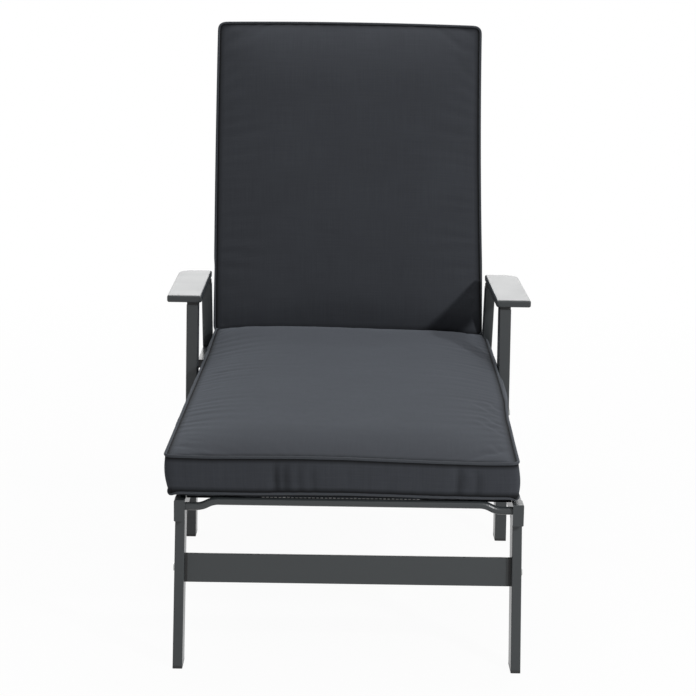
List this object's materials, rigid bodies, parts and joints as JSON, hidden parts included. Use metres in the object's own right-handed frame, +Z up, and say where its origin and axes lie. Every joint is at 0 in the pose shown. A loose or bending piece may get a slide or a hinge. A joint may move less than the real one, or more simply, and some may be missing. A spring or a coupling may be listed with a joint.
{
  "type": "sun lounger",
  "caption": "Outdoor chaise lounge with armrests, raked tube legs, a reclining backrest on a notched prop rack, sling deck and a box cushion in two sections.",
  "frame": {"origin": "on the ground, under the middle of the lounger, midway between the end feet", "axes": "+Z up, foot end towards -Y, head end towards +Y, +X to the right of someone who faces the lounger from its foot end"},
  "size_m": [0.764, 1.924, 1.0576],
  "materials": {
    "powder_coat": "satin dark grey powder coat on extruded aluminium",
    "bare_aluminium": "mill finish aluminium",
    "zinc_steel": "zinc plated",
    "black_nylon": "moulded black nylon",
    "sling_mesh": "coated polyester mesh",
    "cushion_fabric": "woven polyester, plain weave"
  },
  "bodies": {
    "frame": {"side_rail_left": "powder_coat", "side_rail_right": "powder_coat", "front_bracket_left": "powder_coat", "front_bracket_right": "powder_coat", "rear_cap_left": "black_nylon", "rear_cap_right": "black_nylon", "front_crossbar": "powder_coat", "seat_mid_bar": "powder_coat", "seat_rear_bar": "powder_coat", "seat_sling": "sling_mesh", "front_leg_left": "powder_coat", "front_leg_right": "powder_coat", "rear_leg_left": "powder_coat", "rear_leg_right": "powder_coat", "leg_plates": "powder_coat", "leg_feet": "black_nylon", "front_apron": "powder_coat", "rear_apron": "powder_coat", "apron_caps": "black_nylon", "frame_bolts": "zinc_steel", "arm_leg_left": "powder_coat", "arm_leg_right": "powder_coat", "arm_leg_spacers": "black_nylon", "arm_leg_feet": "black_nylon", "arm_base_bar_left": "powder_coat", "arm_base_bar_right": "powder_coat", "arm_base_caps": "black_nylon", "arm_bracket_left": "powder_coat", "arm_bracket_right": "powder_coat", "arm_rear_post_left": "powder_coat", "arm_rear_post_right": "powder_coat", "arm_collars": "black_nylon", "armrest_left": "powder_coat", "armrest_right": "powder_coat", "rack_plate_left": "bare_aluminium", "rack_plate_right": "bare_aluminium", "rack_rivets": "zinc_steel", "hinge_pins": "zinc_steel", "hinge_washers": "black_nylon", "hinge_nuts": "zinc_steel", "seat_cushion": "cushion_fabric"},
    "backrest": {"back_rail_left": "powder_coat", "back_rail_right": "powder_coat", "back_top_bar": "powder_coat", "back_mid_bar": "powder_coat", "back_lower_bar": "powder_coat", "back_sling": "sling_mesh", "back_rail_caps": "black_nylon", "prop_bracket_left": "powder_coat", "prop_bracket_right": "powder_coat", "prop_rivets": "zinc_steel", "prop_pins": "zinc_steel", "prop_clips": "black_nylon", "back_cushion": "cushion_fabric"},
    "prop": {"prop_arm_left": "powder_coat", "prop_arm_right": "powder_coat", "prop_bar": "bare_aluminium", "prop_rollers": "black_nylon"}
  },
  "joints": [
    {"name": "back_recline", "type": "hinge", "parent": "frame", "child": "backrest", "pos_m": [0, 0.30943, 0.271], "axis": [-1, 0, 0], "range_deg": [0, 70]},
    {"name": "prop_swing", "type": "hinge", "parent": "backrest", "child": "prop", "pos_m": [0, 0.42091, 0.50711], "axis": [1, 0, 0], "range_deg": [0, 140]}
  ],
  "couplings": [
    {"joint": "prop_swing", "follows": "back_recline", "ratio": 2}
  ]
}
